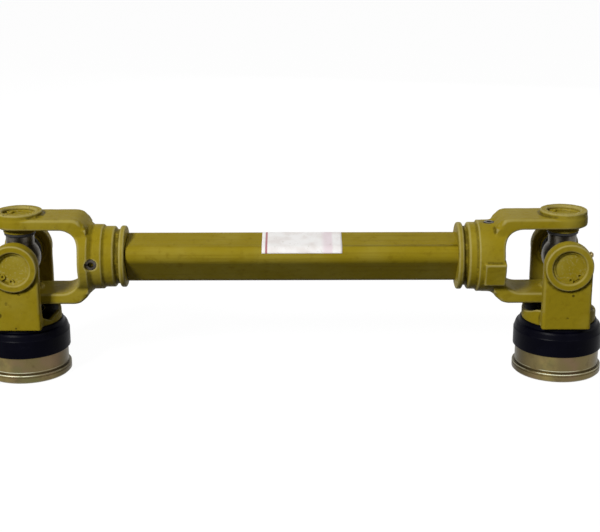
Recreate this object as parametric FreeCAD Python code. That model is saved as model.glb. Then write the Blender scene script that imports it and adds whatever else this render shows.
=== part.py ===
import FreeCAD, Part
import math
import os

V = FreeCAD.Vector
X_AXIS = V(1, 0, 0)
Y_AXIS = V(0, 1, 0)
Z_AXIS = V(0, 0, 1)
HERE = V(0, 0, 0)

# Driving dimensions in millimetres
CENTRE_DISTANCE = 510.0        # between the two joint centres, shaft closed
CUP_DIAMETER = 30.2
CROSS_SPAN = 80.0              # over the closed ends of two opposite cups
FORK_DEPTH = 57.0              # joint centre to the bottom of the fork gap
HUB_LONG = 48.5                # splined hub below the bowl of an end yoke

# Clearances
RUNNING = 0.05                 # shaft in bearing, radial
SEATED = 0.05                  # pieces of one body that sit in each other
APART = 0.3                    # curved faces of different bodies

HALF = CENTRE_DISTANCE / 2
CUP_R = CUP_DIAMETER / 2
CUP_END = CROSS_SPAN / 2
BEYOND = 1.5 * CROSS_SPAN      # cuts run this far past the joint centre

# Eyes and ears, the same on all four yokes, measured from the joint centre
EAR_WALL = 7.65
BOSS_STEP = 0.5
ARM_PROUD = 1.0                # ear face beyond the cup ends
BOSS_HIGH = 4.0
BOSS_EDGE_R = 1.0
ARM_THICK = 10.8
ARM_EDGE_R = 3.0
EYE_SEAT_HIGH = 1.2
EYE_SEAT_WALL = 3.85
EYE_LEAD = 1.2                 # chamfer at the mouth of an eye
EYE_R = CUP_R + SEATED
EAR_R = EYE_R + EAR_WALL
BOSS_R = EAR_R - BOSS_STEP
ARM_FACE = CUP_END + ARM_PROUD
BOSS_FACE = ARM_FACE + BOSS_HIGH
ARM_INNER = ARM_FACE - ARM_THICK
EYE_INNER = ARM_INNER - EYE_SEAT_HIGH
EYE_SEAT_R = EYE_R + EYE_SEAT_WALL
EYE_SEAT_FOOT_R = EYE_SEAT_R + EYE_SEAT_HIGH

# Round base under the ears and the shoulders running down to it
BOWL_LIP = 3.8
BOWL_RISE = 7.0
BOWL_FLOOR = 8.0
BOWL_EDGE = 2.0
BOWL_FOOT_EDGE = 0.8
SHOULDER_RISE = 6.5
SHOULDER_R = 19.0
SHOULDER_SUNK = 0.4            # foot of a shoulder inside the bowl
GAP_CORNER_R = 17.0
EAR_BLEND_R = 5.0              # between ear sides and bowl
RIM_EDGE_R = 2.2               # round the gap and the inner edges of the ears
BOWL_R = ARM_INNER + BOWL_LIP
BOWL_TOP = FORK_DEPTH - BOWL_RISE
BOWL_BOTTOM = FORK_DEPTH + BOWL_FLOOR
SHOULDER_START = FORK_DEPTH - SHOULDER_RISE
SHOULDER_END_R = BOWL_R - SHOULDER_SUNK

# Circlips in the eyes
CLIP_THICK = 1.5
CLIP_PLAY = 0.2
CLIP_GROOVE_DEEP = 1.1
CLIP_RIM_GAP = 0.1
CLIP_BAND = 2.8
CLIP_LUG_IN = 3.75
CLIP_LUG_ROUND_R = 2.5
CLIP_LUG_HOLE_R = 1.2
CLIP_GAP_HALF = 21.0           # degrees from the middle of the gap to a lug
CLIP_LUG_HALF = 8.0            # degrees that a lug takes on the gap's side
CLIP_GROOVE_WIDE = CLIP_THICK + CLIP_PLAY
CLIP_GROOVE_START = CUP_END + CLIP_PLAY / 2
CLIP_GROOVE_R = EYE_R + CLIP_GROOVE_DEEP
CLIP_RIM_R = CLIP_GROOVE_R - CLIP_RIM_GAP
CLIP_LUG_R = CLIP_RIM_R - CLIP_LUG_IN
RIGHT_CLIP_TURNS = {"top": 150, "bottom": 40, "back": 200, "front": -62}
LEFT_CLIP_TURNS = {"top": -20, "bottom": 60, "back": 240, "front": 130}

# Spider, cups and seals
CUP_WALL = 5.0                 # needle rollers and cup wall together
CUP_FLOOR_THICK = 2.4
CUP_LONG = 15.3
CUP_EDGE = 0.8
CUP_MOUTH_EDGE = 0.4
TRUNNION_END_GAP = 0.2
TRUNNION_EDGE = 1.0
SEAL_SPACE = 3.3
SEAL_EDGE = 1.0
SEAL_IN = 0.6
NECK_STEP = 3.1
CORE_IN = 2.9
NIPPLE_SUNK = 1.1
NIPPLE_SEAT_R = 6.5
TRUNNION_R = CUP_R - CUP_WALL
CUP_FLOOR = CUP_END - CUP_FLOOR_THICK
CUP_MOUTH = CUP_END - CUP_LONG
TRUNNION_END = CUP_FLOOR - TRUNNION_END_GAP
SHOULDER_FACE = CUP_MOUTH - SEAL_SPACE
SPIDER_NECK_R = TRUNNION_R + NECK_STEP
SPIDER_CORE_R = SHOULDER_FACE - CORE_IN
SEAL_START = SHOULDER_FACE + APART
SEAL_R = CUP_R - SEAL_IN
NIPPLE_FOOT = SPIDER_CORE_R - NIPPLE_SUNK
NIPPLE_HEX_HALF = 4.5
NIPPLE_HEX_HIGH = 5.0
NIPPLE_TIP_START = 3.0

# Tubes: three rounded lobes, one pointing back
OUTER_LOBE_R = 10.0
OUTER_LOBE_OUT = 14.8
OUTER_WALL = 3.6
INNER_WALL = 4.0
TUBE_SLIDE_GAP = APART
TUBE_SEAT_WALL = 10.0          # solid between a tube's end and the fork gap
TUBE_END_GAP = 0.1
TUBE_STOP_GAP = 0.6            # outer tube end to the rim of the other hub
INNER_TUBE_SHORT = 38.0
INNER_LOBE_R = OUTER_LOBE_R - OUTER_WALL - TUBE_SLIDE_GAP
TUBE_SEAT = HALF - FORK_DEPTH - TUBE_SEAT_WALL
INNER_TUBE_END = TUBE_SEAT - INNER_TUBE_SHORT

# Tube-yoke hubs: wall over the tube's lobes, then heights over the groove floor
NECK_DROP = 9.0                # gap bottom to where the bowl tapers to the hub body
NECK_LONG = 3.5
HUB_REACH = 43.3
RIM_LONG = 5.6
GROOVE_LONG = 4.2
HUB_EDGE = 1.0
STEP_LONG = 1.2
GROOVE_EDGE = 0.8
RIM_EDGE = 0.6
LEFT_HUB = {"wall": 4.8, "rim": 3.5, "collar": 3.2, "body": 5.0, "step": 21.3}
RIGHT_HUB = {"wall": 3.1, "rim": 3.9, "collar": 3.9, "body": 6.2, "step": 19.3}
NECK_START = FORK_DEPTH + NECK_DROP
NECK_END = NECK_START + NECK_LONG
HUB_END = FORK_DEPTH + HUB_REACH
PIN_DROP = 12.6
PIN_R = 5.0
PIN_BORE_R = 2.6
PIN_SUNK = 1.2
PIN_SLOT = 1.2
PIN_FROM_CENTRE = FORK_DEPTH + PIN_DROP
PAD_DROP = 9.1
PAD_LONG = 20.0
PAD_HIGH = 23.0
PAD_DEEP = 10.0
PAD_PROUD = 1.5
PAD_EDGE_R = 1.2
PAD_TURN = 17.0                # degrees below level
PAD_MIDDLE = FORK_DEPTH + PAD_DROP

# End-yoke hub, spline bore and lock balls
SPLINE_MINOR_R = 14.85
SPLINE_DEEP = 2.6
SPLINE_SLOT = 8.7
SPLINE_COUNT = 6
SPLINE_LEAD = 1.0
SPLINE_LEAD_LONG = 3.0
HUB_WALL = 7.05
HUB_FOOT_EDGE = 0.8
BALL_COUNT = 3
BALL_FIRST = 90.0              # degrees, first ball on a spline groove
BALL_PROUD = 0.175
BALL_SHORT = 0.1               # locked ball short of the bore between the grooves
BALL_UP = 15.5                 # ball centre over the hub's lower end
AXIS_HEIGHT = BOWL_BOTTOM + HUB_LONG
SPLINE_MAJOR_R = SPLINE_MINOR_R + SPLINE_DEEP
HUB_R = SPLINE_MAJOR_R + HUB_WALL
BALL_R = (HUB_R - SPLINE_MINOR_R) / 2 + BALL_PROUD
BALL_LOCKED_R = SPLINE_MINOR_R + BALL_SHORT + BALL_R
BALL_LEVEL = AXIS_HEIGHT - BALL_UP

# Locking collar
COLLAR_TRAVEL = 7.5
BALL_TRAVEL = 2.8
CAM_GAP = 0.06                 # between a locked ball and the cone that holds it
COLLAR_OVER_BOWL = 5.5
COLLAR_WALL = 1.9
COLLAR_EDGE = 0.5
COLLAR_TOP_GAP = 7.5
SHELF_OVER_BALL = 8.0
FLANGE_HIGH = 8.5
FLANGE_OUT = 2.5
FLANGE_TOP_EDGE = 0.7
FLANGE_FOOT_EDGE = 1.5
LINE_DROP = 1.2                # shallow line turned in the flange
LINE_EDGE = 0.3
HUB_PROUD = 0.7                # the hub carries the weight, not the collar
COUNTERBORE_OVER_HUB = 5.5
COUNTERBORE_DEEP = 4.9
COLLAR_R = BOWL_R + COLLAR_OVER_BOWL
COLLAR_INNER_R = COLLAR_R - COLLAR_WALL
COLLAR_TOP = BOWL_BOTTOM + COLLAR_TRAVEL + COLLAR_TOP_GAP
COLLAR_SHELF = BALL_LEVEL - SHELF_OVER_BALL
FLANGE_TOP = AXIS_HEIGHT - FLANGE_HIGH
FLANGE_R = COLLAR_R + FLANGE_OUT
COLLAR_BOTTOM = AXIS_HEIGHT - HUB_PROUD
COUNTERBORE_R = HUB_R + COUNTERBORE_OVER_HUB
COUNTERBORE_TOP = AXIS_HEIGHT - COUNTERBORE_DEEP

# Grip ring and the turned foot of the ears over it
RING_UP = 4.1                  # ring top over the bowl's underside
RING_TOP_WALL = 2.4
RING_CORNER_DROP = 2.0
RING_CORNER_IN = 1.6
RING_FULL_DROP = 6.8
RING_OVER_COLLAR = 2.3
RING_SKIRT = 8.4               # below the top of the collar at rest
RING_FOOT_EDGE = 0.8
RING_WALL = 1.5
RING_EDGE = 0.5
RING_BEND = 0.8
RING_NECK_LONG = 3.4
RING_LIP = 0.6
EAR_RING_GAP = 0.2
EAR_FOOT_OUT = 3.4
EAR_TURN_R = 12.0
RING_TOP = BOWL_BOTTOM - RING_UP
RING_TOP_R = BOWL_R + RING_TOP_WALL
RING_CORNER = BOWL_BOTTOM + RING_CORNER_DROP
RING_FULL_R = COLLAR_R + RING_OVER_COLLAR
RING_CORNER_R = RING_FULL_R - RING_CORNER_IN
RING_FULL_TOP = BOWL_BOTTOM + RING_FULL_DROP
RING_BOTTOM = COLLAR_TOP + RING_SKIRT
RING_FULL_BOTTOM = RING_BOTTOM - RING_FOOT_EDGE
RING_MOUTH_R = COLLAR_R + APART
EAR_FOOT = RING_TOP - EAR_RING_GAP
EAR_FOOT_R = BOWL_R + EAR_FOOT_OUT

# Washer, snap ring and spring round the hub
WASHER_IN = 1.0
WASHER_THICK = 1.4
SNAP_RING_OUT = 2.1
SNAP_RING_THICK = 1.5
SNAP_GROOVE_DEEP = 1.5
SNAP_PLAY = 0.1
SNAP_GAP = 5.0
SPRING_IN = 0.45               # nearer the hub than halfway to the collar
SPRING_WIRE_R = 1.25
SPRING_TURNS = 3
SPRING_END_GAP = 0.1
WASHER_R = COUNTERBORE_R - WASHER_IN
WASHER_LOW = COUNTERBORE_TOP + APART + WASHER_THICK
SNAP_RING_R = HUB_R + SNAP_RING_OUT
SNAP_GROOVE_R = HUB_R - SNAP_GROOVE_DEEP
SPRING_R = (HUB_R + COLLAR_INNER_R) / 2 - SPRING_IN


def face_of(points):
    return Part.Face(Part.makePolygon([V(*p) for p in points + points[:1]]))


def revolve(points):
    """Solid of revolution about Z from (radius, z) points."""
    face = face_of([(r, 0, z) for r, z in points])
    return face.revolve(HERE, Z_AXIS, 360)


def tube(outer_r, inner_r, low, high):
    return revolve([(inner_r, low), (outer_r, low), (outer_r, high), (inner_r, high)])


def rod(radius, start, end, axis):
    return Part.makeCylinder(radius, end - start, axis * start, axis)


def arc(points):
    return Part.Arc(*[V(*p) for p in points]).toShape()


def line(start, end):
    return Part.makeLine(V(*start), V(*end))


def placed(shape, move, turns=()):
    """Copy turned about the origin by each (axis, degrees), then moved."""
    copy = shape.copy()
    for axis, angle in turns:
        copy.rotate(HERE, axis, angle)
    copy.translate(move)
    return copy


def rod_at(x, axis):
    hole = rod(PIN_R + SEATED, -BEYOND, BEYOND, axis)
    hole.translate(V(x, 0, 0))
    return hole


def ear_outline():
    """Rounded ear seen along its eye, extruded across both ears."""
    top = arc([(-EAR_R, 0, 0), (0, 0, EAR_R), (EAR_R, 0, 0)])
    right = line((EAR_R, 0, 0), (EAR_R, 0, -BEYOND))
    foot = line((EAR_R, 0, -BEYOND), (-EAR_R, 0, -BEYOND))
    left = line((-EAR_R, 0, -BEYOND), (-EAR_R, 0, 0))
    face = Part.Face(Part.Wire([top, right, foot, left]))
    face.translate(V(0, -BEYOND, 0))
    return face.extrude(V(0, 2 * BEYOND, 0))


def fork_gap():
    """Space between the ears, rounded at the bottom, running along X."""
    y = ARM_INNER
    low = -FORK_DEPTH
    bend = low + GAP_CORNER_R
    inset = GAP_CORNER_R * (1 - math.sqrt(0.5))
    edges = [line((0, -y, BEYOND), (0, -y, bend))]
    edges.append(arc([(0, -y, bend), (0, -y + inset, low + inset), (0, -y + GAP_CORNER_R, low)]))
    edges.append(line((0, -y + GAP_CORNER_R, low), (0, y - GAP_CORNER_R, low)))
    edges.append(arc([(0, y - GAP_CORNER_R, low), (0, y - inset, low + inset), (0, y, bend)]))
    edges.append(line((0, y, bend), (0, y, BEYOND)))
    edges.append(line((0, y, BEYOND), (0, -y, BEYOND)))
    face = Part.Face(Part.Wire(edges))
    face.translate(V(-BEYOND, 0, 0))
    return face.extrude(V(2 * BEYOND, 0, 0))


def shoulder_outline():
    """Side view of both ears running down into the base, extruded across the ears."""
    y = ARM_FACE
    end = SHOULDER_END_R
    drop = ARM_FACE - end
    angle = math.acos((SHOULDER_R - drop) / SHOULDER_R)
    low = -SHOULDER_START - SHOULDER_R * math.sin(angle)
    half = angle / 2
    mid_y = y - SHOULDER_R * (1 - math.cos(half))
    mid_z = -SHOULDER_START - SHOULDER_R * math.sin(half)
    edges = [line((0, -y, BEYOND), (0, -y, -SHOULDER_START))]
    edges.append(arc([(0, -y, -SHOULDER_START), (0, -mid_y, mid_z), (0, -end, low)]))
    edges.append(line((0, -end, low), (0, end, low)))
    edges.append(arc([(0, end, low), (0, mid_y, mid_z), (0, y, -SHOULDER_START)]))
    edges.append(line((0, y, -SHOULDER_START), (0, y, BEYOND)))
    edges.append(line((0, y, BEYOND), (0, -y, BEYOND)))
    face = Part.Face(Part.Wire(edges))
    face.translate(V(-BEYOND, 0, 0))
    return face.extrude(V(2 * BEYOND, 0, 0))


def middle_of(edge):
    return edge.valueAt((edge.FirstParameter + edge.LastParameter) / 2)


def outer_edges(shape):
    """Edges round the outer faces of the two ears and down the shoulders."""
    found = []
    for edge in shape.Edges:
        middle = middle_of(edge)
        on_side = abs(abs(middle.x) - EAR_R) < 0.01
        on_face = abs(abs(middle.y) - ARM_FACE) < 0.01
        on_shoulder = middle.z < -SHOULDER_START and abs(middle.y) > ARM_INNER
        if on_side and on_shoulder:
            found.append(edge)
        elif on_face and edge.BoundBox.YLength < 0.01 and middle.z > -SHOULDER_START + 1:
            found.append(edge)
    return found


def fork():
    """Two rounded ears on their shoulders, without eyes."""
    body = shoulder_outline().common(ear_outline())
    body = body.makeFillet(ARM_EDGE_R, outer_edges(body))
    return body.cut(fork_gap())


def turned_away():
    """What a lathe takes off the outer corners of the end-yoke ears at their foot."""
    foot = -EAR_FOOT
    top = foot + EAR_TURN_R
    wide = EAR_FOOT_R + EAR_TURN_R
    inset = EAR_TURN_R * (1 - math.sqrt(0.5))
    low = -BEYOND
    edges = [line((BOWL_R, 0, low), (BOWL_R, 0, foot)), line((BOWL_R, 0, foot), (EAR_FOOT_R, 0, foot))]
    edges.append(arc([(EAR_FOOT_R, 0, foot), (EAR_FOOT_R + inset, 0, top - inset), (wide, 0, top)]))
    edges += [line((wide, 0, top), (BEYOND, 0, top)), line((BEYOND, 0, top), (BEYOND, 0, low))]
    edges.append(line((BEYOND, 0, low), (BOWL_R, 0, low)))
    return Part.Face(Part.Wire(edges)).revolve(HERE, Z_AXIS, 360)


def ear_corners(shape):
    """Upright edges where the ear sides run into the bowl."""
    corner_y = math.sqrt(BOWL_R ** 2 - EAR_R ** 2)
    found = []
    for edge in shape.Edges:
        middle = middle_of(edge)
        upright = edge.BoundBox.ZLength > 3 and edge.BoundBox.XLength < 0.01
        if upright and abs(abs(middle.x) - EAR_R) < 0.01 and abs(abs(middle.y) - corner_y) < 0.3:
            found.append(edge)
    return found


def gap_rim(shape):
    """Edges of the fork gap on the bowl; the ears' inner edges run on from them."""
    found = []
    for edge in shape.Edges:
        middle = middle_of(edge)
        out = math.hypot(middle.x, middle.y)
        level = -FORK_DEPTH - 0.3 < middle.z < -BOWL_TOP + 1
        curved = edge.Curve.TypeId != "Part::GeomLine"
        near = BOWL_R - 0.3 < out < BOWL_R + 2 * EAR_BLEND_R
        if level and curved and near and abs(middle.y) < ARM_INNER + 0.05:
            found.append(edge)
    return found


def eye_bosses():
    """Raised rings outside the ears and shallow seats inside them."""
    solids = []
    for side in (1, -1):
        axis = Y_AXIS * side
        boss = rod(BOSS_R, ARM_FACE - BOSS_HIGH, BOSS_FACE, axis)
        at_face = [e for e in boss.Edges if abs(e.CenterOfMass.y) > BOSS_FACE - 0.1]
        rim = [e for e in at_face if not e.isSeam(boss.Faces[0])]
        solids.append(boss.makeFillet(BOSS_EDGE_R, rim))
        high = ARM_INNER - EYE_INNER
        solids.append(Part.makeCone(EYE_SEAT_R, EYE_SEAT_FOOT_R, high, axis * EYE_INNER, axis))
    return solids


def eye_cuts():
    cuts = [rod(EYE_R, -BEYOND, BEYOND, Y_AXIS)]
    for side in (1, -1):
        axis = Y_AXIS * side
        cuts.append(rod(CLIP_GROOVE_R, CLIP_GROOVE_START, CLIP_GROOVE_START + CLIP_GROOVE_WIDE, axis))
        cuts.append(Part.makeCone(EYE_R, EYE_R + EYE_LEAD, EYE_LEAD, axis * (BOSS_FACE - EYE_LEAD), axis))
    return cuts


def yoke(ears, base):
    """Ears joined to a turned base, with rounded gap edges and finished eyes."""
    body = ears.fuse([base.cut(fork_gap())]).removeSplitter()
    body = body.makeFillet(EAR_BLEND_R, ear_corners(body))
    body = body.makeFillet(RIM_EDGE_R, gap_rim(body))
    return body.fuse(eye_bosses()).cut(eye_cuts()).removeSplitter()


def bowl_top():
    return [(0, -BOWL_TOP + BOWL_EDGE), (BOWL_R - BOWL_EDGE, -BOWL_TOP + BOWL_EDGE), (BOWL_R, -BOWL_TOP)]


def profile_wire(lobe_out, lobe_r):
    """Three-lobed closed outline in the YZ plane, centred on the shaft axis."""
    edges = []
    ends = []
    for k in range(3):
        a = math.radians(120 * k)
        centre = V(0, lobe_out * math.cos(a), lobe_out * math.sin(a))
        points = []
        for swing in (-60, 0, 60):
            b = a + math.radians(swing)
            points.append(centre + V(0, lobe_r * math.cos(b), lobe_r * math.sin(b)))
        edges.append(Part.Arc(*points).toShape())
        ends.append((points[0], points[2]))
    for k in range(3):
        edges.append(Part.makeLine(ends[k][1], ends[(k + 1) % 3][0]))
    return Part.Wire(Part.__sortEdges__(edges))


def profile_bar(lobe_out, lobe_r, start, end):
    face = Part.Face(profile_wire(lobe_out, lobe_r))
    face.translate(V(start, 0, 0))
    return face.extrude(V(end - start, 0, 0))


def profile_tube(lobe_r, wall, start, end):
    """Profile tube along X; the lobe centres stay put and the lobe radius shrinks."""
    outer = profile_bar(OUTER_LOBE_OUT, lobe_r, start, end)
    return outer.cut(profile_bar(OUTER_LOBE_OUT, lobe_r - wall, start - wall, end + wall))


def hub_base(hub, tube_reach):
    """Stepped round hub of a tube yoke, joint centre at the origin, going down."""
    floor = tube_reach + hub["wall"]
    body = floor + hub["body"]
    collar = floor + hub["collar"]
    rim = floor + hub["rim"]
    rim_start = HUB_END - RIM_LONG
    groove_start = rim_start - GROOVE_LONG
    step = HUB_END - hub["step"]
    points = bowl_top()
    points += [(BOWL_R, -NECK_START), (body, -NECK_END), (body, -step)]
    points += [(collar, -step - STEP_LONG), (collar, -groove_start + HUB_EDGE)]
    points += [(collar - HUB_EDGE, -groove_start), (floor, -groove_start - GROOVE_EDGE)]
    points += [(floor, -rim_start + RIM_EDGE), (rim - HUB_EDGE, -rim_start)]
    points += [(rim, -rim_start - HUB_EDGE), (rim, -HUB_END + HUB_EDGE)]
    points += [(rim - HUB_EDGE, -HUB_END), (0, -HUB_END)]
    return revolve(points)


def to_shaft(shape):
    """Turn a yoke from hanging down to lying along -X with its eyes on Z."""
    return placed(shape, HERE, [(X_AXIS, 90), (Z_AXIS, 90)])


def tube_yoke(hub, tube_reach, pin_axis):
    """Tube yoke about its joint centre, hub towards -X, without its tube seat."""
    return to_shaft(yoke(fork(), hub_base(hub, tube_reach))).cut(rod_at(-PIN_FROM_CENTRE, pin_axis))


def body_radius(hub, tube_reach):
    return tube_reach + hub["wall"] + hub["body"]


def hub_pad(hub_r):
    """Low rectangular pad on the front of the larger hub."""
    face = hub_r + PAD_PROUD
    corner = V(-PAD_MIDDLE - PAD_LONG / 2, -face, -PAD_HIGH / 2)
    pad = Part.makeBox(PAD_LONG, PAD_DEEP, PAD_HIGH, corner)
    front = [e for e in pad.Edges if abs(e.CenterOfMass.y + face) < 0.01]
    pad = pad.makeFillet(PAD_EDGE_R, front)
    return placed(pad, HERE, [(X_AXIS, PAD_TURN)])


def roll_pin(hub_r, axis):
    """Slotted spring pin through hub and tube."""
    half = hub_r - PIN_SUNK
    pin = rod(PIN_R, -half, half, Z_AXIS).cut(rod(PIN_BORE_R, -BEYOND, BEYOND, Z_AXIS))
    slot = Part.makeBox(2 * PIN_R, PIN_SLOT, 2 * BEYOND, V(0, -PIN_SLOT / 2, -BEYOND))
    pin = pin.cut(slot)
    if axis == Y_AXIS:
        pin.rotate(HERE, X_AXIS, 90)
    pin.translate(V(-PIN_FROM_CENTRE, 0, 0))
    return pin


def spider():
    """Cross with a round core and four shouldered trunnions."""
    body = Part.makeSphere(SPIDER_CORE_R)
    for axis in (Y_AXIS, Z_AXIS):
        for side in (1, -1):
            way = axis * side
            body = body.fuse(rod(SPIDER_NECK_R, 0, SHOULDER_FACE, way))
            straight = TRUNNION_END - TRUNNION_EDGE
            body = body.fuse(rod(TRUNNION_R, 0, straight, way))
            tip = Part.makeCone(TRUNNION_R, TRUNNION_R - TRUNNION_EDGE, TRUNNION_EDGE, way * straight, way)
            body = body.fuse(tip)
    seat = rod(NIPPLE_SEAT_R, NIPPLE_FOOT, BEYOND, X_AXIS)
    return body.cut(seat).removeSplitter()


def grease_nipple():
    """Hexagon foot, neck and ball tip, pointing along +X."""
    corner = NIPPLE_HEX_HALF / math.cos(math.radians(30))
    points = []
    for k in range(6):
        a = math.radians(60 * k)
        points.append((NIPPLE_FOOT, corner * math.cos(a), corner * math.sin(a)))
    foot = face_of(points).extrude(V(NIPPLE_HEX_HIGH, 0, 0))
    profile = [(0, 0), (3.3, 0), (3.3, 4), (2.2, 5.5), (3.2, 7.2), (3.2, 8.2), (1.8, 9.8), (0, 9.8)]
    tip = placed(revolve(profile), V(NIPPLE_FOOT + NIPPLE_TIP_START, 0, 0), [(Y_AXIS, 90)])
    return foot.fuse(tip)


def bearing_cup():
    """Closed cup along +Z about the joint centre."""
    bore = TRUNNION_R + RUNNING
    wall = [(bore, CUP_MOUTH), (CUP_R - CUP_MOUTH_EDGE, CUP_MOUTH), (CUP_R, CUP_MOUTH + CUP_MOUTH_EDGE)]
    wall += [(CUP_R, CUP_END - CUP_EDGE), (CUP_R - CUP_EDGE, CUP_END), (0, CUP_END)]
    wall += [(0, CUP_FLOOR), (bore, CUP_FLOOR)]
    return revolve(wall)


def cup_seal():
    inner = TRUNNION_R + APART
    points = [(inner, SEAL_START), (SEAL_R - SEAL_EDGE, SEAL_START), (SEAL_R, SEAL_START + SEAL_EDGE)]
    points += [(SEAL_R, CUP_MOUTH - SEATED), (inner, CUP_MOUTH - SEATED)]
    return revolve(points)


def circlip():
    """Open ring with two drilled lugs, flat on Z, gap towards +X."""
    low = CLIP_GROOVE_START + CLIP_PLAY / 2
    ring = tube(CLIP_RIM_R, CLIP_RIM_R - CLIP_BAND, low, low + CLIP_THICK)
    reach = 2 * CLIP_RIM_R
    half = math.radians(CLIP_GAP_HALF - CLIP_LUG_HALF)
    points = [(0, 0), (reach, -reach * math.tan(half)), (reach, reach * math.tan(half))]
    below = low - CLIP_THICK
    gap = face_of([(x, y, below) for x, y in points]).extrude(V(0, 0, 3 * CLIP_THICK))
    lugs = []
    holes = []
    for side in (1, -1):
        a = math.radians(CLIP_GAP_HALF * side)
        centre = V(CLIP_LUG_R * math.cos(a), CLIP_LUG_R * math.sin(a), low)
        lugs.append(Part.makeCylinder(CLIP_LUG_ROUND_R, CLIP_THICK, centre, Z_AXIS))
        below = centre - Z_AXIS * CLIP_THICK
        holes.append(Part.makeCylinder(CLIP_LUG_HOLE_R, 3 * CLIP_THICK, below, Z_AXIS))
    return ring.cut(gap).fuse(lugs).cut(holes).removeSplitter()


def spline_bore(low, high):
    """Six-groove spline hole to be cut along Z."""
    bore = rod(SPLINE_MINOR_R, low, high, Z_AXIS)
    limit = rod(SPLINE_MAJOR_R, low, high, Z_AXIS)
    for k in range(SPLINE_COUNT // 2):
        corner = V(-SPLINE_MAJOR_R - SPLINE_DEEP, -SPLINE_SLOT / 2, low)
        slot = Part.makeBox(2 * (SPLINE_MAJOR_R + SPLINE_DEEP), SPLINE_SLOT, high - low, corner)
        slot.rotate(HERE, Z_AXIS, 30 + 60 * k)
        bore = bore.fuse(slot.common(limit))
    return bore


def end_base():
    """Bowl under the ears and the round hub of an end yoke."""
    groove_top = -WASHER_LOW - SNAP_PLAY
    groove_low = groove_top - SNAP_RING_THICK - SNAP_PLAY
    points = bowl_top()
    points += [(BOWL_R, -BOWL_BOTTOM + BOWL_FOOT_EDGE), (BOWL_R - BOWL_FOOT_EDGE, -BOWL_BOTTOM)]
    points += [(HUB_R + BOWL_EDGE, -BOWL_BOTTOM), (HUB_R, -BOWL_BOTTOM - BOWL_EDGE), (HUB_R, groove_top)]
    points += [(SNAP_GROOVE_R, groove_top), (SNAP_GROOVE_R, groove_low)]
    points += [(HUB_R, groove_low), (HUB_R, -AXIS_HEIGHT + HUB_FOOT_EDGE)]
    points += [(HUB_R - HUB_FOOT_EDGE, -AXIS_HEIGHT), (0, -AXIS_HEIGHT)]
    return revolve(points)


def end_yoke():
    """Yoke hanging down from the joint centre with its splined hub."""
    body = yoke(fork().cut(turned_away()), end_base())
    body = body.cut(spline_bore(-BEYOND, -BOWL_TOP + BOWL_EDGE))
    mouth = V(0, 0, -AXIS_HEIGHT)
    holes = [Part.makeCone(SPLINE_MAJOR_R + SPLINE_LEAD, SPLINE_MINOR_R, SPLINE_LEAD_LONG, mouth, Z_AXIS)]
    for k in range(BALL_COUNT):
        hole = rod(BALL_R + RUNNING, SPLINE_MINOR_R - SPLINE_DEEP, HUB_R + SPLINE_DEEP, X_AXIS)
        hole = placed(hole, V(0, 0, -BALL_LEVEL), [(Z_AXIS, BALL_FIRST + k * 360 / BALL_COUNT)])
        holes.append(hole)
    return body.cut(holes)


def locking_collar():
    """Flanged sleeve whose inside cone holds the balls in."""
    slope = BALL_TRAVEL / COLLAR_TRAVEL
    lean = math.sqrt(1 + slope * slope)
    cam_r = BALL_LOCKED_R + (BALL_R + CAM_GAP) * lean
    guide_r = HUB_R + APART
    cam_top = BALL_LEVEL - (cam_r - guide_r) / slope
    cam_low_r = cam_r + slope * (COUNTERBORE_TOP - BALL_LEVEL)
    line_r = FLANGE_R - COLLAR_EDGE
    points = [(COLLAR_INNER_R, -COLLAR_TOP), (COLLAR_R - COLLAR_EDGE, -COLLAR_TOP)]
    points += [(COLLAR_R, -COLLAR_TOP - COLLAR_EDGE), (COLLAR_R, -FLANGE_TOP)]
    points += [(FLANGE_R - FLANGE_TOP_EDGE, -FLANGE_TOP), (FLANGE_R, -FLANGE_TOP - FLANGE_TOP_EDGE)]
    points += [(FLANGE_R, -FLANGE_TOP - LINE_DROP), (line_r, -FLANGE_TOP - LINE_DROP - LINE_EDGE)]
    points += [(line_r, -FLANGE_TOP - 2 * LINE_DROP + LINE_EDGE), (FLANGE_R, -FLANGE_TOP - 2 * LINE_DROP)]
    points += [(FLANGE_R, -COLLAR_BOTTOM + FLANGE_FOOT_EDGE), (FLANGE_R - FLANGE_FOOT_EDGE, -COLLAR_BOTTOM)]
    points.append((COUNTERBORE_R + HUB_FOOT_EDGE, -COLLAR_BOTTOM))
    points.append((COUNTERBORE_R, -COLLAR_BOTTOM + HUB_FOOT_EDGE))
    points += [(COUNTERBORE_R, -COUNTERBORE_TOP), (cam_low_r, -COUNTERBORE_TOP)]
    points += [(guide_r, -cam_top), (guide_r, -COLLAR_SHELF), (COLLAR_INNER_R, -COLLAR_SHELF)]
    return revolve(points)


def grip_ring():
    """Moulded ring seated on the bowl, hanging over the collar."""
    seat = BOWL_R + SEATED
    points = [(seat, -RING_TOP), (RING_TOP_R - RING_EDGE, -RING_TOP), (RING_TOP_R, -RING_TOP - RING_EDGE)]
    points += [(RING_TOP_R + 2 * RING_EDGE, -RING_TOP - RING_NECK_LONG)]
    points += [(RING_CORNER_R - RING_BEND, -RING_CORNER + 2 * RING_BEND), (RING_CORNER_R, -RING_CORNER)]
    points += [(RING_FULL_R - RING_BEND / 2, -RING_FULL_TOP + RING_BEND), (RING_FULL_R, -RING_FULL_TOP)]
    points += [(RING_FULL_R, -RING_FULL_BOTTOM), (RING_FULL_R - RING_FOOT_EDGE, -RING_BOTTOM)]
    points += [(RING_MOUTH_R, -RING_BOTTOM), (RING_MOUTH_R, -RING_FULL_TOP + 2 * RING_WALL)]
    points += [(RING_CORNER_R - RING_WALL, -RING_CORNER - RING_EDGE)]
    seat_end = -BOWL_BOTTOM + BOWL_FOOT_EDGE
    points += [(seat + RING_LIP, seat_end - RING_LIP), (seat, seat_end)]
    return revolve(points)


def hub_washer():
    return tube(WASHER_R, HUB_R + SEATED, -WASHER_LOW, -WASHER_LOW + WASHER_THICK)


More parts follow.
